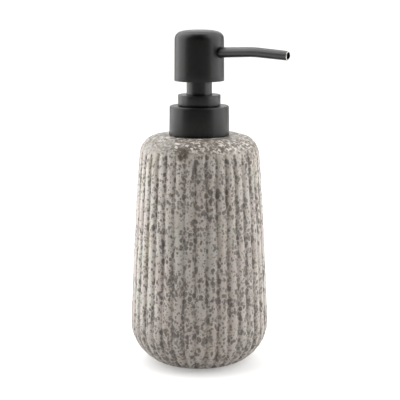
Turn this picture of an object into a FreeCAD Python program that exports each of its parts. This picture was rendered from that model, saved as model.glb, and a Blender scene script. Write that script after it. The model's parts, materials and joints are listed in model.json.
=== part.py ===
"""Soap pump dispenser: a ribbed stoneware bottle with a screw-on lotion pump.

Frame: origin at the centre of the foot, +Z up along the bottle's axis, +X the way the nozzle points.
All sizes are in millimetres. Every piece is written as its own STEP file, at rest, pump up.
"""
import FreeCAD
import Part
import math
import os

V = FreeCAD.Vector
ORIGIN = V(0, 0, 0)
UP = V(0, 0, 1)

# Gaps
BOND_GAP = 0.05          # between pieces that are pressed or bonded together
RUN_GAP = 0.08           # radial clearance of a sliding or turning fit
FREE_GAP = 0.4           # between pieces that must never touch

# Small edge roundings, and how far a cutter runs past the face it opens
EDGE_R = 0.4
FINE_EDGE_R = 0.2
CUT_OVER = 1.0

# Bottle, measured over the crests of its ribs
FOOT_R = 21.0
HIP_R = 37.5
HIP_Z = 22.5
SHOULDER_R = 32.5
SHOULDER_Z = 111.0
WALL_BULGE = 0.35
BOTTLE_TOP_R = 15.5
BOTTLE_TOP_Z = 123.4
MOUTH_R = 12.1
POT_WALL = 4.0
FLOOR_EXTRA = 1.0
# Handles of the foot and shoulder curves, as shares of each curve's width or height
FOOT_SHARE = 0.315
HIP_SHARE = 0.64
SHOULDER_SHARE = 1.22
TOP_SHARE = 0.21

# Ribs: the grooves between them run from beside the foot and fade out on the shoulder
RIB_COUNT = 38
GROOVE_DEPTH = 0.7
GROOVE_HALF_WIDTH = 1.9
GROOVE_START = 0.22      # share of the foot curve that is left plain
GROOVE_RUN_OUT = 8.0

# Neck finish and its thread
NECK_CORE_R = 12.45
NECK_BORE_R = 10.7
NECK_TOP_Z = 134.7
NECK_FLANGE_R = 13.4
NECK_FLANGE_H = 1.6
NECK_SKIRT_DEPTH = 7.0
THREAD_PITCH = 4.233
THREAD_DEPTH = 1.15
THREAD_ROOT_HALF = 0.95
THREAD_CREST_HALF = 0.5
THREAD_BITE = 0.1        # how far a ridge is sunk into the wall that carries it
THREAD_TURNS = 1.0
NECK_THREAD_Z = 127.6
CAP_THREAD_START_DEG = 130.0

# Screw collar
COLLAR_BOTTOM_Z = 123.7
COLLAR_TOP_Z = 139.1
COLLAR_BOTTOM_R = 16.15
COLLAR_TOP_R = 15.85
SHELL_T = 0.5
SHELL_EDGE_R = 0.6
CAP_BORE_R = 13.85
CAP_PLATE_T = 1.7
CAP_HOLE_R = 9.9
SHELL_HOLE_R = 10.6

# Guide ring
RING_R = 11.35
RING_TOP_Z = 145.0
RING_GAP = 0.35          # from the collar's top to the ring's underside
RING_EDGE_R = 0.35
RING_MOUTH_CHAMFER = 0.45
RING_NECK_R = 9.5
GUIDE_TUBE_R = 8.5
GUIDE_BOTTOM_Z = 127.5

# Pump housing
FLANGE_R = 12.3
FLANGE_T = 1.1
GASKET_T = 0.95
GASKET_R = 13.1
HOUSING_WALL = 1.1
CYLINDER_R = 7.6
HOUSING_STEP_Z = 126.0
CYLINDER_BOTTOM_Z = 92.0
CHAMBER_TOP_Z = 88.0
CHAMBER_R = 3.3
SEAT_Z = 81.0
SEAT_HOLE_R = 1.8
NIPPLE_R = 4.7
NIPPLE_BOTTOM_Z = 72.0
SOCKET_TOP_Z = 80.0      # where the dip tube's socket ends, under the seat
CAGE_FLANGE_T = 1.6
CAGE_SLOT_HALF = 0.7

# Valve balls and the slope of their seats, as radius gained per millimetre of height
INLET_BALL_R = 2.4
OUTLET_BALL_R = 2.2
SEAT_SLOPE = 0.75
BALL_LIFT = 1.5

# Dip tube
DIP_R = 3.0
DIP_WALL = 0.7
DIP_BOTTOM_Z = 7.5
DIP_CUT = 3.0            # height of the slanted cut at its lower end

# Plunger
STROKE = 11.5
STROKE_SPARE = 1.1       # room left under the sleeve at the end of the stroke
STEM_R = 3.6
STEM_BORE_R = 2.2
STEM_BOTTOM_Z = 118.0
STEM_TOP_Z = 158.2
OUTLET_SEAT_Z = 156.0
OUTLET_HOLE_R = 1.4
OUTLET_THROAT_H = 1.5
PISTON_TOP_Z = 125.4
PISTON_LIP_H = 1.2
PISTON_WAIST_R = 6.7
TIP_FLANGE_R = 6.5
TIP_FLANGE_T = 1.4
TIP_GUIDE_R = 4.5
TIP_GUIDE_H = 4.6
TIP_HOLE_R = 1.2
TIP_PLUG_H = 5.0

# Return spring
SPRING_R = 5.6
WIRE_R = 0.45
SPRING_TURNS = 9
WIRE_SIDES = 12          # the wire is drawn as a twelve-sided bar of the round wire's area

# Head
HEAD_BOTTOM_Z = 152.3
HEAD_BOTTOM_R = 13.3
HEAD_SIDE_TOP_R = 13.1
HEAD_SIDE_TOP_Z = 173.7
HEAD_TOP_Z = 179.1
CROWN_SHARE = 0.72       # handle of the crown along the radius
BROW_SHARE = 0.86        # handle of the crown along the height
SLEEVE_R = 6.8
SLEEVE_BOTTOM_Z = 141.6
SLEEVE_FILLET_R = 0.8
WEB_Z = 160.5
WEB_T = 2.5
BOSS_R = 8.5
BOSS_TOP_Z = 173.0
BOSS_PLATE_T = 1.5
BOSS_PLATE_R = 11.6
VALVE_CHAMBER_R = 3.0
VALVE_CHAMBER_TOP_Z = 162.8
PASSAGE_R = 1.6
RETAINER_SLOT_HALF = 0.45
RETAINER_SLOT_START = 1.0

# Nozzle: two straight runs joined by a slight bend, tapering from root to tip
NOZZLE_ROOT = V(3.5, 0, 167.1)
NOZZLE_BEND = V(33.0, 0, 168.3)
NOZZLE_TIP = V(52.9, 0, 166.95)
NOZZLE_ROOT_R = 2.8
NOZZLE_TIP_R = 2.45
NOZZLE_BEND_R = 20.0
NOZZLE_WALL = 0.5
LINER_WALL = 0.5
LINER_RECESS = 1.0

# Levels that follow from the sizes above
CAP_PLATE_BOTTOM_Z = COLLAR_TOP_Z - SHELL_T - CAP_PLATE_T
FLANGE_TOP_Z = CAP_PLATE_BOTTOM_Z - BOND_GAP
FLANGE_BOTTOM_Z = FLANGE_TOP_Z - FLANGE_T
RING_BOTTOM_Z = COLLAR_TOP_Z + RING_GAP
GUIDE_FLOOR_Z = SLEEVE_BOTTOM_Z - STROKE - STROKE_SPARE
HOUSING_R = CYLINDER_R + HOUSING_WALL
HOUSING_TOP_R = GUIDE_TUBE_R + BOND_GAP + HOUSING_WALL
CAGE_TOP_Z = CYLINDER_BOTTOM_Z + CAGE_FLANGE_T
SPRING_BOTTOM_Z = CAGE_TOP_Z + BOND_GAP
SPRING_TOP_Z = STEM_BOTTOM_Z - TIP_FLANGE_T - BOND_GAP


def turned(points):
    """Solid of revolution from a closed outline of (radius, height, corner rounding)."""
    starts = []
    ends = []
    middles = []
    count = len(points)
    for i in range(count):
        here = V(points[i][0], 0, points[i][1])
        rounding = points[i][2] if len(points[i]) > 2 else 0
        if rounding == 0:
            starts.append(here)
            ends.append(here)
            middles.append(None)
            continue
        before = V(points[i - 1][0], 0, points[i - 1][1]) - here
        after = V(points[(i + 1) % count][0], 0, points[(i + 1) % count][1]) - here
        before.normalize()
        after.normalize()
        half = before.getAngle(after) / 2
        inward = before + after
        inward.normalize()
        starts.append(here + before * (rounding / math.tan(half)))
        ends.append(here + after * (rounding / math.tan(half)))
        middles.append(here + inward * (rounding / math.sin(half) - rounding))
    edges = []
    for i in range(count):
        if middles[i] is not None:
            edges.append(Part.Arc(starts[i], middles[i], ends[i]).toShape())
        edges.append(Part.makeLine(ends[i], starts[(i + 1) % count]))
    return spun(edges)


def spun(edges):
    """Solid of revolution from the edges of a closed outline in the XZ plane."""
    return Part.Face(Part.Wire(edges)).revolve(ORIGIN, UP, 360)


def bezier(start, start_handle, end_handle, end):
    curve = Part.BezierCurve()
    curve.setPoles([start, start_handle, end_handle, end])
    return curve


def cylinder(radius, bottom, top):
    return Part.makeCylinder(radius, top - bottom, V(0, 0, bottom))


def tube(outer_r, inner_r, bottom, top):
    return cylinder(outer_r, bottom, top).cut(cylinder(inner_r, bottom, top))


def pipe(path, section, axis):
    """Solid swept by a closed section along a path, held upright to one axis."""
    sweep = Part.BRepOffsetAPI.MakePipeShell(path)
    sweep.setBiNormalMode(axis)
    sweep.add(section)
    sweep.build()
    sweep.makeSolid()
    return sweep.shape()


def bottle_curves(inset):
    """Foot curve, wall and shoulder curve of the bottle, moved inwards by inset."""
    foot = V(FOOT_R, 0, inset)
    hip = V(HIP_R - inset, 0, HIP_Z)
    shoulder = V(SHOULDER_R - inset, 0, SHOULDER_Z)
    top = V(BOTTLE_TOP_R, 0, BOTTLE_TOP_Z - inset)
    rise = shoulder - hip
    length = rise.Length
    rise.normalize()
    outward = V(rise.z, 0, -rise.x)
    middle = (hip + shoulder) * 0.5 + outward * WALL_BULGE
    lean = outward * (4 * WALL_BULGE / length)
    foot_curve = bezier(foot,
                        foot + V((hip.x - foot.x) * FOOT_SHARE, 0, 0),
                        hip - (rise + lean) * ((hip.z - foot.z) * HIP_SHARE),
                        hip)
    shoulder_curve = bezier(shoulder,
                            shoulder + (rise - lean) * ((top.z - shoulder.z) * SHOULDER_SHARE),
                            top + V((shoulder.x - top.x) * TOP_SHARE, 0, 0),
                            top)
    return foot_curve, Part.Arc(hip, middle, shoulder), shoulder_curve


def bottle_solid(inset, floor_z):
    """Closed body of revolution between the bottle's curves and its axis."""
    curves = bottle_curves(inset)
    foot = curves[0].StartPoint
    top = curves[2].EndPoint
    edges = [curve.toShape() for curve in curves]
    edges.append(Part.makeLine(top, V(0, 0, top.z)))
    edges.append(Part.makeLine(V(0, 0, top.z), V(0, 0, floor_z)))
    edges.append(Part.makeLine(V(0, 0, floor_z), foot))
    return spun(edges)


def groove():
    """Cutter for one groove: a V that follows the wall and runs out over the shoulder."""
    foot_curve, wall, shoulder_curve = bottle_curves(0)
    foot_edge = Part.Edge(foot_curve, GROOVE_START, 1.0)
    run_out = shoulder_curve.tangent(0.0)[0] * GROOVE_RUN_OUT
    shoulder = shoulder_curve.StartPoint
    path = Part.Wire([foot_edge, wall.toShape(), Part.makeLine(shoulder, shoulder + run_out)])
    start = foot_curve.value(GROOVE_START)
    along = foot_curve.tangent(GROOVE_START)[0]
    outward = V(along.z, 0, -along.x)
    above = start + outward * CUT_OVER
    half_width = GROOVE_HALF_WIDTH * (1 + CUT_OVER / GROOVE_DEPTH)
    floor = start - outward * GROOVE_DEPTH
    left = above + V(0, half_width, 0)
    right = above - V(0, half_width, 0)
    return pipe(path, Part.makePolygon([floor, left, right, floor]), V(0, 1, 0))


def ceramic_bottle():
    body = bottle_solid(0, 0)
    cavity = bottle_solid(POT_WALL, POT_WALL + FLOOR_EXTRA)
    mouth = cylinder(MOUTH_R, SHOULDER_Z, BOTTLE_TOP_Z + CUT_OVER)
    pitch = 360 / RIB_COUNT
    grooves = []
    for i in range(RIB_COUNT):
        cutter = groove()
        cutter.rotate(ORIGIN, UP, (i + 0.5) * pitch)
        grooves.append(cutter)
    return body.cut(cavity).cut(mouth).cut(grooves)


def thread_ridge(wall_r, crest_r, start_z, start_deg, turns):
    """Trapezoid ridge of a right-hand thread, from the wall that carries it to its crest."""
    root_r = wall_r + THREAD_BITE * (1 if crest_r < wall_r else -1)
    helix = Part.makeHelix(THREAD_PITCH, THREAD_PITCH * turns, wall_r)
    section = Part.makePolygon([V(root_r, 0, -THREAD_ROOT_HALF), V(crest_r, 0, -THREAD_CREST_HALF),
                                V(crest_r, 0, THREAD_CREST_HALF), V(root_r, 0, THREAD_ROOT_HALF),
                                V(root_r, 0, -THREAD_ROOT_HALF)])
    ridge = pipe(Part.Wire(helix), section, UP)
    ridge.rotate(ORIGIN, UP, start_deg)
    ridge.translate(V(0, 0, start_z))
    return ridge


def neck_insert():
    """Plastic neck bonded into the bottle's mouth: skirt, flange and threaded finish."""
    flange_top_z = BOTTLE_TOP_Z + NECK_FLANGE_H
    body = turned([(NECK_BORE_R, BOTTLE_TOP_Z - NECK_SKIRT_DEPTH),
                   (MOUTH_R - BOND_GAP, BOTTLE_TOP_Z - NECK_SKIRT_DEPTH, EDGE_R),
                   (MOUTH_R - BOND_GAP, BOTTLE_TOP_Z),
                   (NECK_FLANGE_R, BOTTLE_TOP_Z),
                   (NECK_FLANGE_R, flange_top_z, EDGE_R),
                   (NECK_CORE_R, flange_top_z),
                   (NECK_CORE_R, NECK_TOP_Z, EDGE_R),
                   (NECK_BORE_R, NECK_TOP_Z)])
    crest_r = NECK_CORE_R + THREAD_DEPTH
    return body.fuse(thread_ridge(NECK_CORE_R, crest_r, NECK_THREAD_Z, 0, THREAD_TURNS))


def collar_side_r(z):
    """Outer radius of the tapered collar at one height."""
    share = (z - COLLAR_BOTTOM_Z) / (COLLAR_TOP_Z - COLLAR_BOTTOM_Z)
    return COLLAR_BOTTOM_R + (COLLAR_TOP_R - COLLAR_BOTTOM_R) * share


def collar_shell():
    """Coated metal cover of the screw collar."""
    inner_top_z = COLLAR_TOP_Z - SHELL_T
    return turned([(collar_side_r(COLLAR_BOTTOM_Z), COLLAR_BOTTOM_Z),
                   (collar_side_r(COLLAR_TOP_Z), COLLAR_TOP_Z, SHELL_EDGE_R),
                   (SHELL_HOLE_R, COLLAR_TOP_Z),
                   (SHELL_HOLE_R, inner_top_z),
                   (collar_side_r(inner_top_z) - SHELL_T, inner_top_z),
                   (collar_side_r(COLLAR_BOTTOM_Z) - SHELL_T, COLLAR_BOTTOM_Z)])


def screw_cap():
    """Plastic closure inside the collar, threaded to the neck and loose on the guide ring."""
    top_z = COLLAR_TOP_Z - SHELL_T
    bottom_z = COLLAR_BOTTOM_Z + BOND_GAP
    cover = SHELL_T + BOND_GAP
    body = turned([(CAP_BORE_R, bottom_z),
                   (collar_side_r(bottom_z) - cover, bottom_z),
                   (collar_side_r(top_z) - cover, top_z),
                   (CAP_HOLE_R, top_z),
                   (CAP_HOLE_R, CAP_PLATE_BOTTOM_Z),
                   (CAP_BORE_R, CAP_PLATE_BOTTOM_Z)])
    crest_r = CAP_BORE_R - THREAD_DEPTH + THREAD_BITE
    turned_back = CAP_THREAD_START_DEG / 360
    start_z = NECK_THREAD_Z + THREAD_PITCH * (turned_back - 0.5)
    return body.fuse(thread_ridge(CAP_BORE_R, crest_r, start_z, CAP_THREAD_START_DEG, THREAD_TURNS))


def neck_gasket():
    """Flat washer between the housing's flange and the top of the neck."""
    return tube(GASKET_R, HOUSING_TOP_R + BOND_GAP, FLANGE_BOTTOM_Z - GASKET_T, FLANGE_BOTTOM_Z)


def guide_ring():
    """Ring that guides the head's sleeve, with a tube that plugs into the housing."""
    bore_r = SLEEVE_R + RUN_GAP
    mouth_r = bore_r + RING_MOUTH_CHAMFER
    return turned([(mouth_r, RING_TOP_Z),
                   (RING_R, RING_TOP_Z, RING_EDGE_R),
                   (RING_R, RING_BOTTOM_Z),
                   (RING_NECK_R, RING_BOTTOM_Z),
                   (RING_NECK_R, FLANGE_TOP_Z),
                   (GUIDE_TUBE_R, FLANGE_TOP_Z),
                   (GUIDE_TUBE_R, GUIDE_BOTTOM_Z),
                   (STEM_R + RUN_GAP, GUIDE_BOTTOM_Z),
                   (STEM_R + RUN_GAP, GUIDE_FLOOR_Z),
                   (bore_r, GUIDE_FLOOR_Z),
                   (bore_r, RING_TOP_Z - RING_MOUTH_CHAMFER)])


def stem_seal():
    """Wiper washer clamped under the guide ring, round the stem."""
    return tube(GUIDE_TUBE_R, STEM_R + RUN_GAP / 2, HOUSING_STEP_Z, GUIDE_BOTTOM_Z)


def pump_housing():
    """Pump cylinder with its flange, inlet valve seat and dip tube nipple."""
    seat_top_z = SEAT_Z + (CHAMBER_R - SEAT_HOLE_R) / SEAT_SLOPE
    return turned([(FLANGE_R, FLANGE_BOTTOM_Z),
                   (FLANGE_R, FLANGE_TOP_Z),
                   (GUIDE_TUBE_R + BOND_GAP, FLANGE_TOP_Z),
                   (GUIDE_TUBE_R + BOND_GAP, HOUSING_STEP_Z),
                   (CYLINDER_R, HOUSING_STEP_Z),
                   (CYLINDER_R, CYLINDER_BOTTOM_Z),
                   (CHAMBER_R, CHAMBER_TOP_Z),
                   (CHAMBER_R, seat_top_z),
                   (SEAT_HOLE_R, SEAT_Z),
                   (SEAT_HOLE_R, SOCKET_TOP_Z),
                   (DIP_R + BOND_GAP, SOCKET_TOP_Z),
                   (DIP_R + BOND_GAP, NIPPLE_BOTTOM_Z),
                   (NIPPLE_R, NIPPLE_BOTTOM_Z, EDGE_R),
                   (NIPPLE_R, CHAMBER_TOP_Z - HOUSING_WALL),
                   (HOUSING_R, CYLINDER_BOTTOM_Z - HOUSING_WALL),
                   (HOUSING_R, HOUSING_STEP_Z - HOUSING_WALL),
                   (HOUSING_TOP_R, HOUSING_STEP_Z),
                   (HOUSING_TOP_R, FLANGE_BOTTOM_Z)])


def seated_height(ball_r, hole_r):
    """Height of a ball's centre above the hole of the cone it rests in."""
    slant = math.hypot(1, SEAT_SLOPE)
    return ((ball_r + BOND_GAP) * slant - hole_r) / SEAT_SLOPE


def inlet_ball():
    return Part.makeSphere(INLET_BALL_R, V(0, 0, SEAT_Z + seated_height(INLET_BALL_R, SEAT_HOLE_R)))


def outlet_ball():
    lift = seated_height(OUTLET_BALL_R, OUTLET_HOLE_R)
    return Part.makeSphere(OUTLET_BALL_R, V(0, 0, OUTLET_SEAT_Z + lift))


def ball_cage():
    """Spring seat at the cylinder's bottom, slotted so that soap flows past the ball it holds."""
    ball_top_z = SEAT_Z + seated_height(INLET_BALL_R, SEAT_HOLE_R) + INLET_BALL_R
    bottom_z = ball_top_z + BALL_LIFT + BOND_GAP
    spigot_r = CHAMBER_R - 2 * BOND_GAP
    flange_r = CYLINDER_R - 2 * BOND_GAP
    spigot = cylinder(spigot_r, bottom_z, CYLINDER_BOTTOM_Z)
    flange = cylinder(flange_r, CYLINDER_BOTTOM_Z, CAGE_TOP_Z)
    slot = Part.makeBox(2 * CAGE_SLOT_HALF, 2 * spigot_r, CAGE_TOP_Z - bottom_z + 2 * CUT_OVER,
                        V(-CAGE_SLOT_HALF, -spigot_r, bottom_z - CUT_OVER))
    crossed = slot.copy()
    crossed.rotate(ORIGIN, UP, 90)
    return spigot.fuse(flange).cut([slot, crossed])


def dip_tube():
    """Straight tube from the nipple to just above the floor, cut on a slant so it can't seal."""
    body = tube(DIP_R, DIP_R - DIP_WALL, DIP_BOTTOM_Z, SOCKET_TOP_Z - BOND_GAP)
    wedge = Part.makePolygon([V(-DIP_R, -DIP_R, DIP_BOTTOM_Z), V(DIP_R, -DIP_R, DIP_BOTTOM_Z),
                              V(DIP_R, -DIP_R, DIP_BOTTOM_Z + DIP_CUT), V(-DIP_R, -DIP_R, DIP_BOTTOM_Z)])
    return body.cut(Part.Face(wedge).extrude(V(0, 2 * DIP_R, 0)))


def plunger_stem():
    """Hollow rod of the plunger, with the outlet valve's seat at its top."""
    seat_r = OUTLET_HOLE_R + (STEM_TOP_Z - OUTLET_SEAT_Z) * SEAT_SLOPE
    throat_z = OUTLET_SEAT_Z - OUTLET_THROAT_H
    return turned([(STEM_R, STEM_BOTTOM_Z),
                   (STEM_R, STEM_TOP_Z, FINE_EDGE_R),
                   (seat_r, STEM_TOP_Z),
                   (OUTLET_HOLE_R, OUTLET_SEAT_Z),
                   (OUTLET_HOLE_R, throat_z),
                   (STEM_BORE_R, throat_z),
                   (STEM_BORE_R, STEM_BOTTOM_Z)])


def stem_tip():
    """Plug in the stem's lower end that carries the piston and takes the spring's push."""
    plug_r = STEM_BORE_R - BOND_GAP
    plug_top_z = STEM_BOTTOM_Z + TIP_PLUG_H
    flange_bottom_z = STEM_BOTTOM_Z - TIP_FLANGE_T
    return turned([(TIP_HOLE_R, flange_bottom_z - TIP_GUIDE_H),
                   (TIP_GUIDE_R, flange_bottom_z - TIP_GUIDE_H, EDGE_R),
                   (TIP_GUIDE_R, flange_bottom_z),
                   (TIP_FLANGE_R, flange_bottom_z),
                   (TIP_FLANGE_R, STEM_BOTTOM_Z),
                   (plug_r, STEM_BOTTOM_Z),
                   (plug_r, plug_top_z, FINE_EDGE_R),
                   (TIP_HOLE_R, plug_top_z)])


def piston():
    """Soft piston with a wiping lip at each end."""
    lip_r = CYLINDER_R - RUN_GAP
    bore_r = STEM_R + BOND_GAP
    return turned([(bore_r, STEM_BOTTOM_Z),
                   (lip_r, STEM_BOTTOM_Z),
                   (lip_r, STEM_BOTTOM_Z + PISTON_LIP_H),
                   (PISTON_WAIST_R, STEM_BOTTOM_Z + 2 * PISTON_LIP_H),
                   (PISTON_WAIST_R, PISTON_TOP_Z - 2 * PISTON_LIP_H),
                   (lip_r, PISTON_TOP_Z - PISTON_LIP_H),
                   (lip_r, PISTON_TOP_Z),
                   (bore_r, PISTON_TOP_Z)])


def return_spring():
    """Compression spring between the ball cage and the plunger's tip."""
    height = SPRING_TOP_Z - SPRING_BOTTOM_Z - 2 * WIRE_R
    pitch = height / SPRING_TURNS
    lead = math.atan2(pitch, 2 * math.pi * SPRING_R)
    step = 2 * math.pi / WIRE_SIDES
    corner_r = WIRE_R * math.sqrt(step / math.sin(step))
    corners = []
    for i in range(WIRE_SIDES + 1):
        across = corner_r * math.cos(step * (i + 0.5))
        along = corner_r * math.sin(step * (i + 0.5))
        corners.append(V(SPRING_R + across, -along * math.sin(lead), along * math.cos(lead)))
    helix = Part.makeHelix(pitch, height, SPRING_R)
    spring = pipe(Part.Wire(helix), Part.makePolygon(corners), UP)
    spring.translate(V(0, 0, SPRING_BOTTOM_Z + WIRE_R))
    return spring


def outlet_retainer():
    """Slotted disc that stops the outlet ball's lift."""
    ball_top_z = OUTLET_SEAT_Z + seated_height(OUTLET_BALL_R, OUTLET_HOLE_R) + OUTLET_BALL_R
    bottom_z = ball_top_z + BALL_LIFT + BOND_GAP
    radius = VALVE_CHAMBER_R - BOND_GAP
    disc = cylinder(radius, bottom_z, VALVE_CHAMBER_TOP_Z)
    slots = []
    for angle in (0, 120, 240):
        slot = Part.makeBox(radius, 2 * RETAINER_SLOT_HALF, VALVE_CHAMBER_TOP_Z - bottom_z + 2 * CUT_OVER,
                            V(RETAINER_SLOT_START, -RETAINER_SLOT_HALF, bottom_z - CUT_OVER))
        slot.rotate(ORIGIN, UP, angle)
        slots.append(slot)
    return disc.cut(slots)


def head_side_r(z):
    """Outer radius of the head's tapered side at one height."""
    share = (z - HEAD_BOTTOM_Z) / (HEAD_SIDE_TOP_Z - HEAD_BOTTOM_Z)
    return HEAD_BOTTOM_R + (HEAD_SIDE_TOP_R - HEAD_BOTTOM_R) * share


def head_solid(inset):
    """Closed form of the head, moved inwards by inset, from its open rim to its crown."""
    rim = V(HEAD_BOTTOM_R - inset, 0, HEAD_BOTTOM_Z)
    brow = V(HEAD_SIDE_TOP_R - inset, 0, HEAD_SIDE_TOP_Z)
    crown = V(0, 0, HEAD_TOP_Z - inset)
    crown_curve = bezier(brow,
                         brow + V(0, 0, (crown.z - brow.z) * BROW_SHARE),
                         crown + V(brow.x * CROWN_SHARE, 0, 0),
                         crown)
    edges = [Part.makeLine(rim, brow), crown_curve.toShape()]
    edges.append(Part.makeLine(crown, V(0, 0, HEAD_BOTTOM_Z)))
    edges.append(Part.makeLine(V(0, 0, HEAD_BOTTOM_Z), rim))
    return spun(edges)


def nozzle_rod(inset, root_cut, tip_cut):
    """Solid along the nozzle's line: two tapers and a bend, moved inwards by inset."""
    first = NOZZLE_BEND - NOZZLE_ROOT
    second = NOZZLE_TIP - NOZZLE_BEND
    total = first.Length + second.Length
    first_length = first.Length
    second_length = second.Length
    first.normalize()
    second.normalize()
    turn = first.getAngle(second)
    reach = NOZZLE_BEND_R * math.tan(turn / 2)
    bend_r = NOZZLE_ROOT_R + (NOZZLE_TIP_R - NOZZLE_ROOT_R) * first_length / total - inset
    bend_start = NOZZLE_BEND - first * reach
    bend_end = NOZZLE_BEND + second * reach
    root_run = Part.makeCone(NOZZLE_ROOT_R - inset, bend_r, first_length - reach - root_cut,
                             NOZZLE_ROOT + first * root_cut, first)
    tip_run = Part.makeCone(bend_r, NOZZLE_TIP_R - inset, second_length - reach - tip_cut, bend_end, second)
    disc = Part.Face(Part.Wire(Part.makeCircle(bend_r, bend_start, first)))
    below = V(first.z, 0, -first.x)
    bend = disc.revolve(bend_start + below * NOZZLE_BEND_R, V(0, 1, 0), math.degrees(turn))
    return root_run.fuse([bend, tip_run]).removeSplitter()


def nozzle_tube():
    """Coated metal spout."""
    return nozzle_rod(0, 0, 0).cut(nozzle_rod(NOZZLE_WALL, 0, 0))


def nozzle_liner():
    """Plastic tube inside the spout, set back from its tip."""
    outer = NOZZLE_WALL + BOND_GAP
    return nozzle_rod(outer, 0, LINER_RECESS).cut(nozzle_rod(outer + LINER_WALL, 0, LINER_RECESS))


def head_shell():
    """Coated metal cover of the head, open below, with a hole for the spout."""
    spout_hole = nozzle_rod(-RUN_GAP, BOSS_R - NOZZLE_ROOT.x, 0)
    return head_solid(0).cut([head_solid(SHELL_T), spout_hole])


def actuator_core():
    """Plastic heart of the head: sleeve, web, boss and the soap's way to the spout."""
    cover = SHELL_T + BOND_GAP
    web_r = head_side_r(WEB_Z + WEB_T) - cover
    body = turned([(0, SLEEVE_BOTTOM_Z),
                   (SLEEVE_R, SLEEVE_BOTTOM_Z, EDGE_R),
                   (SLEEVE_R, WEB_Z, SLEEVE_FILLET_R),
                   (web_r, WEB_Z),
                   (web_r, WEB_Z + WEB_T),
                   (BOSS_R, WEB_Z + WEB_T),
                   (BOSS_R, BOSS_TOP_Z - BOSS_PLATE_T),
                   (BOSS_PLATE_R, BOSS_TOP_Z - BOSS_PLATE_T),
                   (BOSS_PLATE_R, BOSS_TOP_Z, EDGE_R),
                   (0, BOSS_TOP_Z)])
    socket_top_z = STEM_TOP_Z + FREE_GAP
    socket = cylinder(STEM_R + BOND_GAP, SLEEVE_BOTTOM_Z - CUT_OVER, socket_top_z)
    chamber = cylinder(VALVE_CHAMBER_R, socket_top_z - CUT_OVER, VALVE_CHAMBER_TOP_Z)
    passage = cylinder(PASSAGE_R, VALVE_CHAMBER_TOP_Z - CUT_OVER, NOZZLE_ROOT.z)
    crossing = Part.makeCylinder(PASSAGE_R, NOZZLE_ROOT.x + CUT_OVER, V(0, 0, NOZZLE_ROOT.z), V(1, 0, 0))
    return body.cut([socket, chamber, passage, crossing, nozzle_rod(-BOND_GAP, 0, 0)])


PIECES = [ceramic_bottle, neck_insert, collar_shell, screw_cap, neck_gasket, guide_ring, stem_seal,
          pump_housing, ball_cage, inlet_ball, dip_tube, return_spring, stem_tip, piston, plunger_stem,
          outlet_ball, outlet_retainer, actuator_core, head_shell, nozzle_tube, nozzle_liner]


def main():
    os.makedirs("parts", exist_ok=True)
    for piece in PIECES:
        shape = piece()
        shape.exportStep("parts/" + piece.__name__ + ".step")
        print(piece.__name__, "valid" if shape.isValid() else "INVALID", len(shape.Solids), "solid",
              round(shape.Volume, 1), "mm3")


main()
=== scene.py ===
"""Looks of a ribbed stoneware soap bottle with a black lotion pump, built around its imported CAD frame."""
import json
import math

import bmesh
import bpy
import numpy as np
from mathutils import Matrix, Vector, noise


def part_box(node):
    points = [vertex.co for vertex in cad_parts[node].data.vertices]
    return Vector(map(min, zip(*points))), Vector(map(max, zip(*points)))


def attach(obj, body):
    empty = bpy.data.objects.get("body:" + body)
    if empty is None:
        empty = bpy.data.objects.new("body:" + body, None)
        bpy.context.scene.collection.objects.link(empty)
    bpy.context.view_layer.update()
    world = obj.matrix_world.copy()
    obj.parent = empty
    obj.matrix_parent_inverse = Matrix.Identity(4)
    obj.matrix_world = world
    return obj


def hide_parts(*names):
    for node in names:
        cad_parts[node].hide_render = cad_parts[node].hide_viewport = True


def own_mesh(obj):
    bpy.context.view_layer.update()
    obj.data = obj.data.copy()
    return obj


MM = 0.001

# Bottle outline over the rib crests, mm: the same curves as the CAD bottle
FOOT_R, HIP_R, HIP_Z = 21.0, 37.5, 22.5
SHOULDER_R, SHOULDER_Z, WALL_BULGE = 32.5, 111.0, 0.35
BOTTLE_TOP_R, BOTTLE_TOP_Z, MOUTH_R = 15.5, 123.4, 12.1
POT_WALL, FLOOR_T = 4.0, 5.0
FOOT_SHARE, HIP_SHARE, SHOULDER_SHARE, TOP_SHARE = 0.315, 0.64, 1.22, 0.21

# Ribs: convex lobes with narrow grooves between them
RIB_COUNT = 38
COLUMNS_PER_RIB = 12
RIB_RELIEF = 1.0
LOBE_POWER = 2.1
RIB_START_Z = 0.5

# Columns of points round the pump's turned pieces
ROUND_COLUMNS = 160

# Glaze: the camera's side, where specks crowd and shade is painted; a dark drip on the shoulder (angle,
# radius, height)
SPECKLED_SHADED_SIDE = math.radians(-36)
DRIP_ANGLE, DRIP_R, DRIP_Z = math.radians(-75), 31.0, 117.5

# Where the camera stands, from the middle of the object
CAMERA_AZIMUTH = math.radians(32)
CAMERA_DISTANCE = 0.600
CAMERA_HEIGHT = 0.2002
AIM_HEIGHT = 0.0879
AIM_SIDE = 0.00037
LENS, SENSOR = 101.6, 36.0

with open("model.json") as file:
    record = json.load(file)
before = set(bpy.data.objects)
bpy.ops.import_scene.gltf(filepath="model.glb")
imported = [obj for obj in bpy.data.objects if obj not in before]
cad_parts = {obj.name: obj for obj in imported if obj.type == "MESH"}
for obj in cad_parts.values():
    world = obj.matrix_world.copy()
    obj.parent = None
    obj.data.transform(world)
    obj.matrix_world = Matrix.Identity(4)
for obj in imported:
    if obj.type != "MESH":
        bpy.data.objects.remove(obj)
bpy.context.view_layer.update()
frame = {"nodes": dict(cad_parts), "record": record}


def on_side(angle, radius, height):
    """A point round the object's axis, its angle counted from the spout's side (+X)."""
    return Vector((radius * math.cos(angle), radius * math.sin(angle), height))


def toward(azimuth, distance, height):
    """A studio place: azimuth 0 is the camera's side of the object, positive to its right."""
    return on_side(CAMERA_AZIMUTH - math.pi / 2 + azimuth, distance, height)


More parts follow.
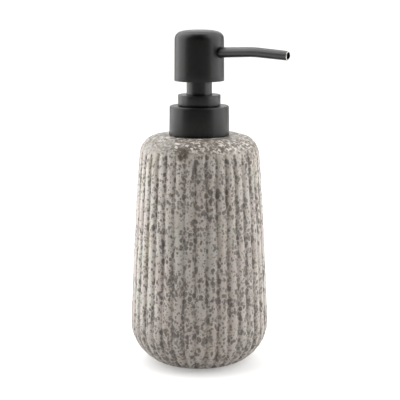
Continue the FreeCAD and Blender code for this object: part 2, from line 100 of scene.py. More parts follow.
# ---------------------------------------------------------------- shader helpers
class Shader:
    """A material being built: adds nodes and links, and holds the object's coordinates in millimetres."""

    def __init__(self, name):
        self.material = bpy.data.materials.new(name)
        self.material.use_nodes = True
        self.tree = self.material.node_tree
        self.surface = self.tree.nodes["Principled BSDF"]
        coordinates = self.tree.nodes.new("ShaderNodeTexCoord")
        self.place = self.vector("SCALE", coordinates.outputs["Object"], scale=1 / MM)

    def feed(self, socket, value):
        if isinstance(value, bpy.types.NodeSocket):
            self.tree.links.new(value, socket)
        else:
            socket.default_value = value

    def set(self, **values):
        """Sets or links sockets of the surface shader; a name's underscores stand for spaces."""
        for name, value in values.items():
            self.feed(self.surface.inputs[name.replace("_", " ")], value)

    def vector(self, operation, a, b=(0, 0, 0), scale=1.0):
        node = self.tree.nodes.new("ShaderNodeVectorMath")
        node.operation = operation
        self.feed(node.inputs[0], a)
        self.feed(node.inputs[1], b)
        if operation == "SCALE":
            self.feed(node.inputs["Scale"], scale)
        return node.outputs["Value" if operation in ("DISTANCE", "DOT_PRODUCT") else "Vector"]

    def math(self, operation, a, b):
        node = self.tree.nodes.new("ShaderNodeMath")
        node.operation = operation
        self.feed(node.inputs[0], a)
        self.feed(node.inputs[1], b)
        return node.outputs[0]

    def plus(self, a, b):
        return self.math("ADD", a, b)

    def times(self, a, b):
        return self.math("MULTIPLY", a, b)

    def most(self, a, b):
        return self.math("MAXIMUM", a, b)

    def range(self, value, low, high, to_low=0.0, to_high=1.0, smooth=True):
        node = self.tree.nodes.new("ShaderNodeMapRange")
        node.interpolation_type = "SMOOTHSTEP" if smooth else "LINEAR"
        for socket, number in zip(node.inputs, (value, low, high, to_low, to_high)):
            self.feed(socket, number)
        return node.outputs[0]

    def mix(self, factor, a, b):
        node = self.tree.nodes.new("ShaderNodeMix")
        node.data_type = "RGBA"
        self.feed(node.inputs[0], factor)
        self.feed(node.inputs[6], a if isinstance(a, bpy.types.NodeSocket) else (*a, 1))
        self.feed(node.inputs[7], b if isinstance(b, bpy.types.NodeSocket) else (*b, 1))
        return node.outputs[2]

    def noise(self, size, detail=2.0, roughness=0.5, stretch=1.0, shift=0.0, place=None):
        """Noise whose features are about size millimetres wide, and stretch times as tall."""
        node = self.tree.nodes.new("ShaderNodeTexNoise")
        self.feed(node.inputs["Vector"], self.scaled(size, stretch, shift, place))
        node.inputs["Scale"].default_value = 1.0
        node.inputs["Detail"].default_value = detail
        node.inputs["Roughness"].default_value = roughness
        return node.outputs["Fac"]

    def scaled(self, size, stretch=1.0, shift=0.0, place=None):
        node = self.tree.nodes.new("ShaderNodeMapping")
        self.feed(node.inputs["Vector"], place or self.place)
        node.inputs["Location"].default_value = (shift, shift, shift)
        node.inputs["Scale"].default_value = (1 / size, 1 / size, 1 / (size * stretch))
        return node.outputs[0]

    def cells(self, size, stretch=1.0, shift=0.0, place=None):
        """Cells about size millimetres apart: distance to the cell's centre, and the cell's random colour."""
        node = self.tree.nodes.new("ShaderNodeTexVoronoi")
        self.feed(node.inputs["Vector"], self.scaled(size, stretch, shift, place))
        node.inputs["Scale"].default_value = 1.0
        return node.outputs["Distance"], node.outputs["Color"]

    def red(self, color):
        node = self.tree.nodes.new("ShaderNodeSeparateColor")
        self.feed(node.inputs[0], color)
        return node.outputs["Red"]

    def attribute(self, name):
        node = self.tree.nodes.new("ShaderNodeAttribute")
        node.attribute_name = name
        return node.outputs["Fac"]

    def bump(self, height, distance, under=None):
        """Surface relief of the given depth in millimetres."""
        node = self.tree.nodes.new("ShaderNodeBump")
        self.feed(node.inputs["Height"], height)
        node.inputs["Distance"].default_value = distance * MM
        node.inputs["Strength"].default_value = 1.0
        if under is not None:
            self.feed(node.inputs["Normal"], under)
        return node.outputs[0]

    def warped(self, size, amount, shift=0.0):
        """The place, pushed about by noise so that what is drawn on it has wandering edges."""
        node = self.tree.nodes.new("ShaderNodeTexNoise")
        self.feed(node.inputs["Vector"], self.scaled(size, 1.0, shift))
        node.inputs["Scale"].default_value = 1.0
        node.inputs["Detail"].default_value = 1.0
        centred = self.vector("SUBTRACT", node.outputs["Color"], (0.5, 0.5, 0.5))
        return self.vector("ADD", self.place, self.vector("SCALE", centred, scale=2 * amount))


# ---------------------------------------------------------------- materials
def blots(s, size, level, softness, stretch, shift, place):
    """Blots about size millimetres wide with wandering edges: 1 where the noise rises over level, else 0."""
    height = s.noise(size, 2, 0.5, stretch, shift, place)
    return s.range(s.math("SUBTRACT", height, level), -softness, softness)


def spots(s, size, reach, softness, stretch, shift, place):
    """Roundish spots, one in a cell about size millimetres wide, of random size up to reach of a cell."""
    distance, color = s.cells(size, stretch, shift, place)
    radius = s.times(s.range(s.red(color), 0.0, 1.0, 0.1, 1.0, smooth=False), reach)
    return s.range(s.math("SUBTRACT", radius, distance), -softness, softness)


def glaze_ground(s, groove, height, speckled_shaded_side):
    """Glaze under the specks: drifts of colour, dark grooves, pale crests; painted shade in a browner dark
    towards the foot, the shoulder and the speckled side, which faces the camera.
    """
    pink = (0.378, 0.328, 0.302)
    grey = (0.39, 0.364, 0.329)
    green = (0.345, 0.345, 0.305)
    tone = s.mix(s.range(s.noise(17, 2, 0.5, 1.8), 0.42, 0.58), grey, pink)
    tone = s.mix(s.range(s.noise(13, 2, 0.5, 2.2, 31), 0.50, 0.64), tone, green)
    streaks = s.range(s.noise(8, 2, 0.5, 4.0, 71), 0.56, 0.66)
    tone = s.mix(s.times(streaks, 0.4), tone, (0.34, 0.265, 0.16))
    pooled = s.range(s.noise(4, 2, 0.5, 3.0, 19), 0.3, 0.6, 0.2, 0.5)
    tone = s.mix(s.times(s.range(groove, 0.15, 0.8), pooled), tone, (0.225, 0.195, 0.17))
    worn = s.range(s.noise(6.5, 2, 0.5, 3.5, 3), 0.38, 0.62, 0.1, 0.38)
    tone = s.mix(s.times(s.range(groove, 0.35, 0.0), worn), tone, (0.57, 0.54, 0.495))
    # Painted shade: the glaze darkens towards the foot, towards the shoulder and on the speckled side.
    foot = s.times(s.range(height, 45, 5), 0.62)
    shaded_ends = s.most(foot, s.range(height, 107, 119, 0, 0.5))
    return s.mix(s.most(shaded_ends, s.range(speckled_shaded_side, 10, 36, 0, 0.52)), tone, (0.20, 0.175, 0.155))


def glaze_specks(s, tone, groove, height, speckled_shaded_side):
    """Iron specks and a dark veil over a tone; specks crowd by patches, in the grooves, near the foot and on
    one side, the last two partly as painted shade.

    Returns the speckled tone and the shares of the fine, main and iron specks.
    """
    wander = s.warped(1.3, 0.36)
    patch = s.range(s.noise(11, 2, 0.5, 1.6, 53), 0.36, 0.64, -0.13, 0.08, smooth=False)
    crowd = s.plus(patch, s.range(groove, 0.0, 0.8, -0.04, 0.13))
    # More specks on the speckled side and near the foot: partly real speckle, partly painted shade.
    crowd = s.plus(crowd, s.range(speckled_shaded_side, -8, 36, -0.08, 0.09))
    crowd = s.plus(crowd, s.times(s.range(height, 45, 5), 0.08))
    veil = blots(s, 4.2, s.math("SUBTRACT", 0.52, s.times(crowd, 0.35)), 0.06, 1.4, 27, wander)
    # A dark veil of glaze; its growth towards the speckled side is painted shade.
    tone = s.mix(s.times(veil, s.range(speckled_shaded_side, 0, 36, 0.16, 0.46)), tone, (0.25, 0.215, 0.19))
    rust = s.range(s.noise(5, 2, 0.5, 1.0, 61), 0.42, 0.58)
    brown = s.mix(rust, (0.08, 0.064, 0.054), (0.105, 0.091, 0.079))
    fine = spots(s, 1.15, s.plus(crowd, 0.48), 0.09, 1.2, 23, wander)
    tone = s.mix(s.times(fine, 0.68), tone, brown)
    main = spots(s, 1.65, s.plus(crowd, 0.52), 0.07, 1.3, 0, wander)
    tone = s.mix(s.times(main, 0.82), tone, brown)
    iron = spots(s, 2.5, s.plus(crowd, 0.40), 0.06, 1.35, 9, wander)
    tone = s.mix(s.times(iron, 0.8), tone, (0.06, 0.048, 0.04))
    return tone, fine, main, iron


def shoulder_mottle(s, fine, main):
    """Marbling of the shoulder: white curls on brown in places, plain specks between."""
    swirl = s.warped(2.4, 0.7, 5)
    wild = s.range(s.noise(11, 1, 0.5, 1.0, 83), 0.36, 0.54)
    cloud = s.noise(2.0, 3, 0.6, 0.5, 77, swirl)
    mottle = s.mix(s.range(cloud, 0.40, 0.50), (0.062, 0.047, 0.032), (0.135, 0.112, 0.088))
    mottle = s.mix(s.range(cloud, 0.51, 0.58), mottle, (0.48, 0.455, 0.412))
    mottle = s.mix(s.times(fine, 0.6), mottle, (0.12, 0.10, 0.085))
    fleck = s.mix(s.times(s.most(fine, main), 0.8), (0.15, 0.13, 0.108), (0.048, 0.037, 0.027))
    return s.mix(wild, s.mix(0.35, fleck, mottle), mottle)


def drip_share(s):
    """Where the brown drip lies on the shoulder: 1 on it, 0 away from it."""
    distance = s.vector("DISTANCE", s.warped(2.0, 2.2, 11), on_side(DRIP_ANGLE, DRIP_R, DRIP_Z))
    broken = s.range(s.noise(2.0, 2, 0.5, 1.0, 15), 0.40, 0.55, 0.55, 1.0)
    return s.times(s.range(distance, 5.2, 2.4), broken)


def stoneware():
    """Speckled stoneware glaze: pale body, crowded iron specks, marbled shoulder with a brown drip, and
    painted shade at the foot, the shoulder and one side.
    """
    s = Shader("speckled_stoneware")
    groove = s.attribute("groove")
    height = s.vector("DOT_PRODUCT", s.place, (0, 0, 1))
    # How far a spot lies towards the side where specks crowd and shade is painted.
    speckled_shaded_side = s.vector("DOT_PRODUCT", s.place, on_side(SPECKLED_SHADED_SIDE, 1, 0))
    tone = glaze_ground(s, groove, height, speckled_shaded_side)
    tone, fine, main, iron = glaze_specks(s, tone, groove, height, speckled_shaded_side)
    tone = s.mix(s.times(s.attribute("shoulder"), 0.92), tone, shoulder_mottle(s, fine, main))
    tone = s.mix(s.times(drip_share(s), 0.92), tone, (0.042, 0.029, 0.015))
    specks = s.most(main, iron)
    s.set(Base_Color=tone,
          Roughness=s.range(s.plus(s.noise(1.4, 2), s.times(specks, 0.3)), 0.3, 0.9, 0.36, 0.58),
          IOR=1.5)
    glaze = s.bump(s.noise(2.4, 2, 0.5, 1.6, 41), 0.25)
    grain = s.bump(s.noise(0.7, 2, 0.6), 0.05, under=glaze)
    s.set(Normal=s.bump(specks, -0.06, under=grain))
    return s.material


def coated_metal(name, sheen):
    """Matte black powder coat: fine orange peel, faint cloudiness in its sheen."""
    s = Shader(name)
    cloud = s.noise(6.0, 3, 0.6)
    s.set(Base_Color=s.mix(s.range(cloud, 0.3, 0.7), (0.0026, 0.0026, 0.0024), (0.0042, 0.0042, 0.0038)),
          Roughness=s.range(s.noise(2.2, 3, 0.6, 1.0, 5), 0.3, 0.7, 0.30, 0.37),
          IOR=1.5,
          Specular_IOR_Level=sheen)
    peel = s.bump(s.noise(0.45, 2, 0.5), 0.012)
    s.set(Normal=s.bump(s.noise(0.12, 1, 0.5, 1.0, 3), 0.003, under=peel))
    return s.material


def moulded_plastic(name, dark, light, low, high):
    """Moulded plastic: faint flow lines round the axis, fine spark-eroded grain."""
    s = Shader(name)
    flow = s.noise(9.0, 2, 0.5, 0.25)
    s.set(Base_Color=s.mix(s.range(flow, 0.3, 0.7), dark, light),
          Roughness=s.range(s.noise(3.0, 2, 0.6, 1.0, 13), 0.3, 0.7, low, high),
          IOR=1.48,
          Specular_IOR_Level=0.36)
    s.set(Normal=s.bump(s.noise(0.22, 2, 0.5), 0.006))
    return s.material


def drawn_steel(name, roughness):
    """Bare steel with fine drawing lines."""
    s = Shader(name)
    lines = s.noise(0.25, 2, 0.5, 12.0)
    s.set(Base_Color=s.mix(s.range(s.noise(3.0, 2), 0.3, 0.7), (0.50, 0.50, 0.49), (0.62, 0.61, 0.60)),
          Metallic=1.0,
          Roughness=s.range(lines, 0.3, 0.7, roughness, roughness + 0.12))
    s.set(Normal=s.bump(lines, 0.004))
    return s.material


def studio_paper():
    """Seamless white paper with a trace of tooth."""
    s = Shader("white_paper")
    s.set(Base_Color=s.mix(s.range(s.noise(60, 2), 0.3, 0.7), (0.63, 0.63, 0.625), (0.66, 0.66, 0.655)),
          Roughness=0.9,
          Emission_Color=(1.0, 0.99, 0.975, 1),
          Emission_Strength=0.30)
    s.set(Normal=s.bump(s.noise(1.5, 2), 0.02))
    return s.material


# ---------------------------------------------------------------- mesh helpers
def new_piece(name, mesh, material, body, slot, *replaced):
    """Links a finished mesh as a piece that rides on a body and stands for CAD nodes."""
    piece = bpy.data.objects.new(name, mesh)
    bpy.context.scene.collection.objects.link(piece)
    if not mesh.materials:
        mesh.materials.append(material)
    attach(piece, body)
    if replaced:
        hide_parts(*replaced)
    return piece


def soften(mesh, degrees=38):
    """Smooth shading that stays crisp on edges sharper than the angle."""
    mesh.polygons.foreach_set("use_smooth", [True] * len(mesh.polygons))
    mesh.set_sharp_from_angle(angle=math.radians(degrees))


def grid_mesh(name, rings, loop_rows=False):
    """Quad mesh over rings of points (rows, columns, xyz in mm); a ring of one point closes an end."""
    points = []
    starts = []
    for ring in rings:
        starts.append(len(points))
        points.extend(ring)
    faces = []
    pairs = len(rings) if loop_rows else len(rings) - 1
    for i in range(pairs):
        a, b = i, (i + 1) % len(rings)
        na, nb = len(rings[a]), len(rings[b])
        for k in range(max(na, nb)):
            m = (k + 1) % max(na, nb)
            if na == 1:
                faces.append((starts[a], starts[b] + m, starts[b] + k))
            elif nb == 1:
                faces.append((starts[a] + k, starts[a] + m, starts[b]))
            else:
                faces.append((starts[a] + k, starts[a] + m, starts[b] + m, starts[b] + k))
    mesh = bpy.data.meshes.new(name)
    mesh.from_pydata([tuple(p * MM for p in point) for point in points], [], faces)
    mesh.validate()
    return mesh


def circle(r, z, columns):
    if r == 0:
        return [(0.0, 0.0, z)]
    return [(r * math.cos(2 * math.pi * k / columns), r * math.sin(2 * math.pi * k / columns), z)
            for k in range(columns)]


def rounded(corners, steps):
    """Closed outline of (radius, height) with each corner of (radius, height, rounding) turned by an arc."""
    outline = []
    count = len(corners)
    for i, corner in enumerate(corners):
        here = Vector(corner[:2])
        rounding = corner[2] if len(corner) > 2 else 0
        if rounding == 0:
            outline.append(tuple(here))
            continue
        before = (Vector(corners[i - 1][:2]) - here).normalized()
        after = (Vector(corners[(i + 1) % count][:2]) - here).normalized()
        half = before.angle(after) / 2
        centre = here + (before + after).normalized() * (rounding / math.sin(half))
        start = here + before * (rounding / math.tan(half)) - centre
        end = here + after * (rounding / math.tan(half)) - centre
        sweep = start.angle_signed(end)
        for k in range(steps + 1):
            turn = Matrix.Rotation(-sweep * k / steps, 2)
            outline.append(tuple(centre + turn @ start))
    return outline


def turned(name, corners, steps=6):
    """Closed ring-shaped mesh of revolution from an outline, listed so that its faces look outwards."""
    rings = [circle(r, z, ROUND_COLUMNS) for r, z in rounded(corners, steps)]
    mesh = grid_mesh(name, rings, loop_rows=True)
    soften(mesh)
    return mesh


def bezier(start, start_handle, end_handle, end, count):
    t = np.linspace(0, 1, count)[:, None]
    a, b, c, d = (np.array(p, float) for p in (start, start_handle, end_handle, end))
    return (1 - t) ** 3 * a + 3 * (1 - t) ** 2 * t * b + 3 * (1 - t) * t * t * c + t ** 3 * d


# ---------------------------------------------------------------- bottle
def bottle_outline(inset, foot_rows, wall_rows, shoulder_rows):
    """Foot curve, wall and shoulder curve as rows of (radius, height), moved inwards by inset, in mm."""
    foot = np.array((FOOT_R, inset))
    hip = np.array((HIP_R - inset, HIP_Z))
    shoulder = np.array((SHOULDER_R - inset, SHOULDER_Z))
    top = np.array((BOTTLE_TOP_R, BOTTLE_TOP_Z - inset))
    length = np.linalg.norm(shoulder - hip)
    rise = (shoulder - hip) / length
    outward = np.array((rise[1], -rise[0]))
    lean = outward * 4 * WALL_BULGE / length
    foot_curve = bezier(foot, foot + (FOOT_SHARE * (hip[0] - foot[0]), 0),
                        hip - (rise + lean) * (hip[1] - foot[1]) * HIP_SHARE, hip, foot_rows)
    t = np.linspace(0, 1, wall_rows)[:, None]
    wall = hip + (shoulder - hip) * t + outward * WALL_BULGE * 4 * t * (1 - t)
    shoulder_curve = bezier(shoulder, shoulder + (rise - lean) * (top[1] - shoulder[1]) * SHOULDER_SHARE,
                            top + (TOP_SHARE * (shoulder[0] - top[0]), 0), top, shoulder_rows)
    return foot_curve, wall, shoulder_curve


def soft_floor(value, width):
    """value where it is well above 0, and 0 where it is well below, with a rounded turn between."""
    return 0.5 * (value + math.sqrt(value * value + width * width))


def bottle_rows():
    """Outer rows of the bottle: radius, height, normal (2 values), lost rib relief, shoulder share."""
    foot_curve, wall, shoulder_curve = bottle_outline(0, 40, 92, 36)
    points = np.concatenate([foot_curve[:-1], wall[:-1], shoulder_curve])
    along = np.gradient(points, axis=0)
    along /= np.linalg.norm(along, axis=1)[:, None]
    rise = wall[-1] - wall[-2]
    rise /= np.linalg.norm(rise)
    rows = []
    for (r, z), (tr, tz) in zip(points, along):
        spent = 0.0
        if z > SHOULDER_Z and r < SHOULDER_R:
            spent = max(0.0, (SHOULDER_R - r) * rise[1] + (z - SHOULDER_Z) * rise[0])
        if z < 6:
            spent = RIB_RELIEF * max(0.0, 1 - z / 3.0) ** 2
        crown = min(1.0, max(0.0, (z - 115.5) / 4.0))
        rows.append((r, z, tz, -tr, spent, crown))
    return rows


def groove_depth(spot, share, spent):
    """How deep the wall lies under the crests at a spot that is a share of a rib past a crest, in mm."""
    wobble = 0.056 * noise.noise(Vector((spot.x / 9, spot.y / 9, spot.z / 14)))
    across = abs((share + wobble + 0.5) % 1.0 - 0.5) * 2
    relief = RIB_RELIEF * (1 + 0.5 * noise.noise(Vector((spot.x / 7, spot.y / 7, spot.z / 22 + 40))))
    return soft_floor(relief * across ** LOBE_POWER - spent, 0.06)


def glaze_swell(spot):
    """How far the glaze stands out at a spot, in mm: broad swells and small lumps, none at the foot."""
    swell = 0.11 * noise.noise(spot / 10 + Vector((9, 0, 0)))
    lumps = 0.17 * noise.noise(Vector((spot.x / 2.6, spot.y / 2.6, spot.z / 3.8 + 17)))
    return (swell + lumps) * min(1.0, spot.z / 5.0)


def bottle_mesh():
    """Ribbed bottle with its cavity, and the groove and shoulder shares that its glaze follows."""
    columns = RIB_COUNT * COLUMNS_PER_RIB
    pitch = 2 * math.pi / RIB_COUNT
    rings = [[(0.0, 0.0, 0.0)]]
    grooves = [0.0]
    shoulders = [0.0]
    for r in (8.0, 16.0):
        rings.append(circle(r, 0, columns))
        grooves.extend([0.0] * columns)
        shoulders.extend([0.0] * columns)
    for r, z, nr, nz, spent, crown in bottle_rows():
        ring = []
        for k in range(columns):
            angle = pitch * k / COLUMNS_PER_RIB
            spot = Vector((r * math.cos(angle), r * math.sin(angle), z))
            depth = groove_depth(spot, k / COLUMNS_PER_RIB, spent)
            push = glaze_swell(spot) - (depth if z > RIB_START_Z else 0)
            radial = r + nr * push
            ring.append((radial * math.cos(angle), radial * math.sin(angle), max(0.0, z + nz * push)))
            grooves.append(min(1.0, depth / RIB_RELIEF))
            shoulders.append(crown)
        rings.append(ring)
    inner = bottle_outline(POT_WALL, 12, 14, 14)
    cavity = [tuple(p) for p in np.concatenate(inner)[::-1]]
    lip = [(BOTTLE_TOP_R - 1.2, BOTTLE_TOP_Z), (MOUTH_R + 0.3, BOTTLE_TOP_Z), (MOUTH_R, BOTTLE_TOP_Z - 0.3),
           (MOUTH_R, BOTTLE_TOP_Z - POT_WALL)]
    floor = [(FOOT_R - 2, FLOOR_T), (10.0, FLOOR_T), (0, FLOOR_T)]
    for r, z in lip + cavity + floor:
        ring = circle(r, z, columns)
        rings.append(ring)
        grooves.extend([0.0] * len(ring))
        shoulders.extend([0.0] * len(ring))
    mesh = grid_mesh("glazed_bottle", rings)
    for name, values in (("groove", grooves), ("shoulder", shoulders)):
        mesh.attributes.new(name, "FLOAT", "POINT").data.foreach_set("value", values)
    soften(mesh, 60)
    return mesh


# ---------------------------------------------------------------- pump pieces
def high_low(node):
    """Outer radius, lowest and highest level of a round CAD node, in mm."""
    low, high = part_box(node)
    return (high.y - low.y) / 2 / MM, low.z / MM, high.z / MM


def collar_mesh():
    """Pressed metal collar cover: drafted side, rounded top edge, hemmed lower edge."""
    outer, bottom, top = high_low("collar_shell")
    draft, wall, hole = 0.3, 0.5, 10.6
    outside = [(outer - wall, bottom, 0.18), (outer, bottom, 0.2), (outer - draft, top, 0.75)]
    inside = [(hole, top, 0.2), (hole, top - wall), (outer - draft - wall, top - wall, 0.3)]
    return turned("collar_cover", outside + inside)


def ring_mesh():
    """Guide ring: bevelled rim, chamfered mouth, neck and the tube that plugs into the housing."""
    outer, bottom, top = high_low("guide_ring")
    bore, stem_bore, neck, tube = 6.88, 3.68, 9.5, 8.5
    under, shelf, floor = 139.45, 136.85, 129.0
    return turned("guide_ring_body", [(stem_bore, bottom), (tube, bottom, 0.2), (tube, shelf), (neck, shelf),
                                      (neck, under), (outer, under, 0.2), (outer, top, 0.38),
                                      (bore + 0.5, top, 0.12), (bore, top - 0.5, 0.15), (bore, floor),
                                      (stem_bore, floor)], steps=5)


def head_mesh():
    """Deep-drawn head cover: drafted side, domed crown and rolled rim; the spout's hole is bored later."""
    outer, bottom, top = high_low("head_shell")
    side_top, draft, wall, rim_height = 173.7, 0.2, 0.5, 2.0

    def skin(inset):
        brow = (outer - draft - inset, side_top)
        crown = (0.0, top - inset)
        curve = bezier(brow, (brow[0], side_top + (crown[1] - side_top) * 0.86),
                       (brow[0] * 0.72, crown[1]), crown, 22)
        return [tuple(p) for p in curve]

    rim = rounded([(outer - wall, bottom, 0.2), (outer, bottom, 0.22),
                   (outer, bottom + rim_height), (outer - wall, bottom + rim_height)], 5)
    lower = [p for p in rim if p[1] < bottom + rim_height / 2]
    side = [(outer - draft * s, bottom + (side_top - bottom) * s) for s in (0.15, 0.4, 0.7)]
    inner = [(r - wall, z) for r, z in reversed(side)]
    outline = lower + side + skin(0)
    rings = [circle(r, z, ROUND_COLUMNS) for r, z in outline[:-1]] + [[(0.0, 0.0, top)]]
    shell = grid_mesh("head_outer", rings)
    lining = grid_mesh("head_inner", [[(0.0, 0.0, top - wall)]]
                       + [circle(r, z, ROUND_COLUMNS) for r, z in skin(wall)[-2::-1] + inner + [lower[0]]])
    both = bmesh.new()
    both.from_mesh(shell)
    both.from_mesh(lining)
    bmesh.ops.remove_doubles(both, verts=both.verts, dist=0.00001)
    mesh = bpy.data.meshes.new("head_cover")
    both.to_mesh(mesh)
    both.free()
    return mesh


def spout_line():
    """Centre line of the spout, in mm, with its direction and outer radius at each point."""
    root, bend, tip = (np.array(p) for p in ((3.5, 0, 167.1), (33.0, 0, 168.3), (52.9, 0, 166.95)))
    root_r, tip_r, reach = 2.8, 2.45, 3.4
    first = (bend - root) / np.linalg.norm(bend - root)
    second = (tip - bend) / np.linalg.norm(tip - bend)
    start, end = bend - first * reach, bend + second * reach
    t = np.linspace(0, 1, 9)[:, None]
    knee = (1 - t) ** 2 * start + 2 * (1 - t) * t * bend + t * t * end
    shares = np.linspace(0, 1, 10)[:, None]
    line = np.concatenate([root + (start - root) * shares[:-1], knee, end + (tip - end) * shares[1:]])
    along = np.gradient(line, axis=0)
    along /= np.linalg.norm(along, axis=1)[:, None]
    travelled = np.concatenate([[0], np.cumsum(np.linalg.norm(np.diff(line, axis=0), axis=1))])
    radii = root_r + (tip_r - root_r) * travelled / travelled[-1]
    return line, along, radii


def spout_ring(centre, along, radius, columns=48):
    across = np.array((0.0, 1.0, 0.0))
    upward = np.cross(along, across)
    return [tuple(centre + radius * (math.cos(a) * across + math.sin(a) * upward))
            for a in (2 * math.pi * k / columns for k in range(columns))]


def spout_mesh(coat, bare):
    """Bent, tapering metal tube; the cut end of its wall is left bare."""
    line, along, radii = spout_line()
    wall, lip = 0.5, 0.12
    tip, ahead, tip_r = line[-1], along[-1], radii[-1]
    outside = [spout_ring(c, a, r) for c, a, r in zip(line[:-1], along[:-1], radii[:-1])]
    lips = [spout_ring(tip - ahead * lip, ahead, tip_r), spout_ring(tip, ahead, tip_r - lip),
            spout_ring(tip, ahead, tip_r - wall + lip), spout_ring(tip - ahead * lip, ahead, tip_r - wall)]
    inside = [spout_ring(c, a, r - wall) for c, a, r in zip(line[-2::-1], along[-2::-1], radii[-2::-1])]
    mesh = grid_mesh("spout", outside + lips + inside, loop_rows=True)
    mesh.materials.append(coat)
    mesh.materials.append(bare)
    rows = len(outside)
    columns = len(lips[0])
    for face in mesh.polygons:
        if rows * columns <= face.index < (rows + 3) * columns:
            face.material_index = 1
    soften(mesh)
    return mesh


def spring_mesh():
    """Coil spring with closed end turns."""
    low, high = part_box("return_spring")
    wire, turns, per_turn, section = 0.45, 9.0, 28, 12
    coil_r = (high.y - low.y) / 2 / MM - wire
    bottom, top = low.z / MM + wire, high.z / MM - wire
    rings = []
    steps = int(turns * per_turn)
    for i in range(steps + 1):
        share = i / steps
        eased = min(1.0, max(0.0, (share * turns - 1) / (turns - 2)))
        closed = 2 * wire * (min(1.0, share * turns) + max(0.0, share * turns - (turns - 1)))
        z = bottom + closed + (top - bottom - 4 * wire) * eased
        angle = 2 * math.pi * share * turns
        outward = np.array((math.cos(angle), math.sin(angle), 0.0))
        centre = outward * coil_r + np.array((0, 0, z))
        rings.append([tuple(centre + wire * (math.cos(a) * outward + math.sin(a) * np.array((0, 0, 1.0))))
                      for a in (2 * math.pi * k / section for k in range(section))])
    first = [tuple(np.mean(rings[0], axis=0))]
    last = [tuple(np.mean(rings[-1], axis=0))]
    mesh = grid_mesh("coil", [first] + rings + [last])
    soften(mesh)
    return mesh


def cut_hole(piece, name, start, end, radius):
    """Bores a round hole through a piece."""
    start, end = Vector(start) * MM, Vector(end) * MM
    maker = bmesh.new()
    bmesh.ops.create_cone(maker, cap_ends=True, segments=64, radius1=radius * MM, radius2=radius * MM,
                          depth=(end - start).length)
    mesh = bpy.data.meshes.new(name)
    maker.to_mesh(mesh)
    maker.free()
    cutter = bpy.data.objects.new(name, mesh)
    bpy.context.scene.collection.objects.link(cutter)
    turn = (end - start).to_track_quat("Z", "Y").to_matrix().to_4x4()
    cutter.matrix_world = Matrix.Translation((start + end) / 2) @ turn
    cut = piece.modifiers.new("hole", "BOOLEAN")
    cut.operation = "DIFFERENCE"
    cut.solver = "EXACT"
    cut.object = cutter
    bpy.context.view_layer.update()
    result = bpy.data.meshes.new_from_object(piece.evaluated_get(bpy.context.evaluated_depsgraph_get()))
    piece.modifiers.remove(cut)
    piece.data = result
    bpy.data.objects.remove(cutter)
    soften(result)


# ---------------------------------------------------------------- the object
def dress_cad_nodes(materials):
    """Gives each CAD node that stays the material of its record slot."""
    slots = {part["node"]: part["material_slot"] for part in frame["record"]["subparts"]}
    for name, node in frame["nodes"].items():
        node.data.materials.clear()
        node.data.materials.append(materials[slots[name]])


def slot_materials():
    """One material per slot of the record; a plastic has a dark and a light tone and two roughnesses."""
    plastics = {
        "black_plastic": ((0.0040, 0.0033, 0.0042), (0.0060, 0.0050, 0.0062), 0.29, 0.36),
        "white_plastic": ((0.70, 0.70, 0.68), (0.76, 0.76, 0.74), 0.35, 0.45),
        "natural_plastic": ((0.62, 0.64, 0.62), (0.70, 0.72, 0.70), 0.22, 0.3),
        "soft_plastic": ((0.55, 0.56, 0.56), (0.62, 0.63, 0.63), 0.5, 0.6),
    }
    materials = {name: moulded_plastic(name, *look) for name, look in plastics.items()}
    materials["stoneware"] = stoneware()
    materials["coated_metal"] = coated_metal("black_powder_coat", 0.28)
    materials["steel"] = drawn_steel("steel", 0.2)
    return materials


def build_object():
    materials = slot_materials()
    dress_cad_nodes(materials)
    coat, black = materials["coated_metal"], materials["black_plastic"]
    new_piece("glazed_bottle", bottle_mesh(), materials["stoneware"], "bottle", "stoneware", "ceramic_bottle")
    new_piece("collar_cover", collar_mesh(), coat, "collar", "coated_metal", "collar_shell")
    new_piece("guide_ring_body", ring_mesh(), black, "pump_body", "black_plastic", "guide_ring")
    head = new_piece("head_cover", head_mesh(), coat, "head", "coated_metal", "head_shell")
    line, _, radii = spout_line()
    cut_hole(head, "hole_cutter", line[2], line[2] + (line[5] - line[2]), radii[3] + 0.22)
    spout_coat = coated_metal("spout_powder_coat", 0.62)
    bare = drawn_steel("bare_edge", 0.3)
    new_piece("spout", spout_mesh(spout_coat, bare), spout_coat, "head", "coated_metal", "nozzle_tube")
    spring = new_piece("coil", spring_mesh(), materials["steel"], "pump_body", "steel", "return_spring")
    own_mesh(spring)


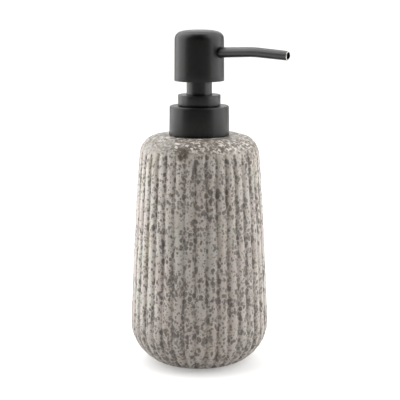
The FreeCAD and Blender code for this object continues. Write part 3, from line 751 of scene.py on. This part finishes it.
# ---------------------------------------------------------------- studio
def paper_sweep():
    """Seamless sweep: pale floor, a wide curve, and a wall well behind the object."""
    half_width, front, back, curve_r, wall_top = 4.0, 3.0, 2.2, 0.8, 3.2
    strips = 8
    outline = [(-front, 0.0), (-1.0, 0.0), (0.0, 0.0), (back - curve_r, 0.0)]
    for k in range(1, 13):
        angle = math.pi / 2 * k / 12
        outline.append((back - curve_r + curve_r * math.sin(angle), curve_r - curve_r * math.cos(angle)))
    outline.append((back, wall_top))
    away = -toward(0, 1, 0)
    side = Vector((away.y, -away.x, 0))
    points = []
    for along, height in outline:
        for k in range(strips + 1):
            across = side * half_width * (2 * k / strips - 1)
            points.append(away * along + across + Vector((0, 0, height)))
    row = strips + 1
    corners = [row * i + k for i in range(len(outline) - 1) for k in range(strips)]
    faces = [(c, c + 1, c + row + 1, c + row) for c in corners]
    mesh = bpy.data.meshes.new("paper_sweep")
    mesh.from_pydata(points, [], faces)
    soften(mesh)
    mesh.materials.append(studio_paper())
    sweep = bpy.data.objects.new("paper_sweep", mesh)
    bpy.context.scene.collection.objects.link(sweep)


def softbox(name, azimuth_deg, distance, height, width, tall, power, aim=Vector((0, 0, 0.1))):
    """Area light that faces a point, the bottle's middle unless another is given."""
    light = bpy.data.lights.new(name, "AREA")
    light.shape = "RECTANGLE"
    light.size = width
    light.size_y = tall
    light.energy = power
    lamp = bpy.data.objects.new(name, light)
    bpy.context.scene.collection.objects.link(lamp)
    lamp.location = toward(math.radians(azimuth_deg), distance, height)
    lamp.rotation_euler = (aim - lamp.location).to_track_quat("-Z", "Y").to_euler()
    lamp.visible_camera = False


def studio_light():
    softbox("left_box", -101, 1.0, 0.62, 1.6, 1.8, 33)
    softbox("right_box", 87, 1.0, 0.62, 1.6, 1.8, 30)
    softbox("back_wash", 180, 1.6, 1.2, 2.4, 1.2, 6)
    softbox("wall_wash", 180, 0.9, 2.4, 2.4, 0.5, 22, toward(math.pi, 2.2, 0.9))
    softbox("top_box", 180, 0.3, 1.5, 1.2, 0.9, 9)
    world = bpy.data.worlds.new("room")
    world.use_nodes = True
    world.node_tree.nodes["Background"].inputs["Color"].default_value = (0.96, 0.98, 1.0, 1)
    world.node_tree.nodes["Background"].inputs["Strength"].default_value = 0.06
    bpy.context.scene.world = world
    bpy.context.scene.view_settings.view_transform = "Standard"


def camera():
    data = bpy.data.cameras.new("camera")
    data.lens = LENS
    data.sensor_width = SENSOR
    eye = bpy.data.objects.new("camera", data)
    bpy.context.scene.collection.objects.link(eye)
    eye.location = toward(0, CAMERA_DISTANCE, CAMERA_HEIGHT)
    side = toward(math.pi / 2, AIM_SIDE, 0)
    aim = Vector((side.x, side.y, AIM_HEIGHT)) - eye.location
    eye.rotation_euler = aim.to_track_quat("-Z", "Y").to_euler()
    bpy.context.scene.camera = eye


build_object()
paper_sweep()
studio_light()
camera()
